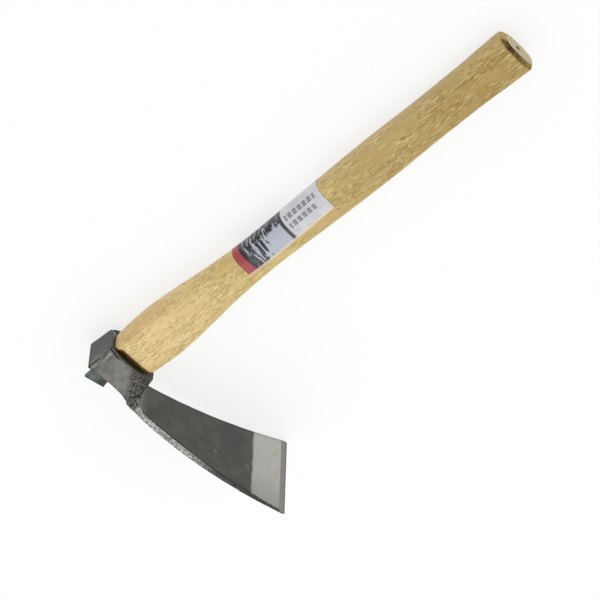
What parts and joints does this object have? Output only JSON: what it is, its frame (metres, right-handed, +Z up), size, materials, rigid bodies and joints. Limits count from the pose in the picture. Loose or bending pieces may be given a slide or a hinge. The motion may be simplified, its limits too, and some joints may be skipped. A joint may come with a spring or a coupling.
{
  "type": "adze hoe",
  "caption": "Hand adze hoe with an oak handle wedged into a forged steel eye and a broad curved blade with a ground edge.",
  "frame": {"origin": "on the floor, under the middle of the tool's bounding box, with the tool lying on its side as it rests on one corner of the blade, one corner of the eye and the butt", "axes": "+Z up from the floor, +X along the handle from the eye to the butt, +Y on the poll's side, away from the blade"},
  "size_m": [0.4096, 0.1864, 0.0937],
  "materials": {
    "oak": "light oak with fine dark pores and flecks, thin clear coat",
    "forged_steel": "rough forged steel with grey scale and pitting",
    "blade_steel": "smooth dark forge scale, with a bright ground bevel",
    "edge_steel": "ground bright along the edge",
    "weld_metal": "rough weld with dark scale",
    "wedge_steel": "dark steel plate with a struck head",
    "label_print": "printed paper with a red end band, an abstract dark pattern and no text"
  },
  "bodies": {
    "root": {"handle": "oak", "eye_collar": "forged_steel", "blade": "blade_steel", "edge_steel": "edge_steel", "root_weld": "weld_metal", "wedge": "wedge_steel", "label": "label_print"}
  },
  "joints": []
}
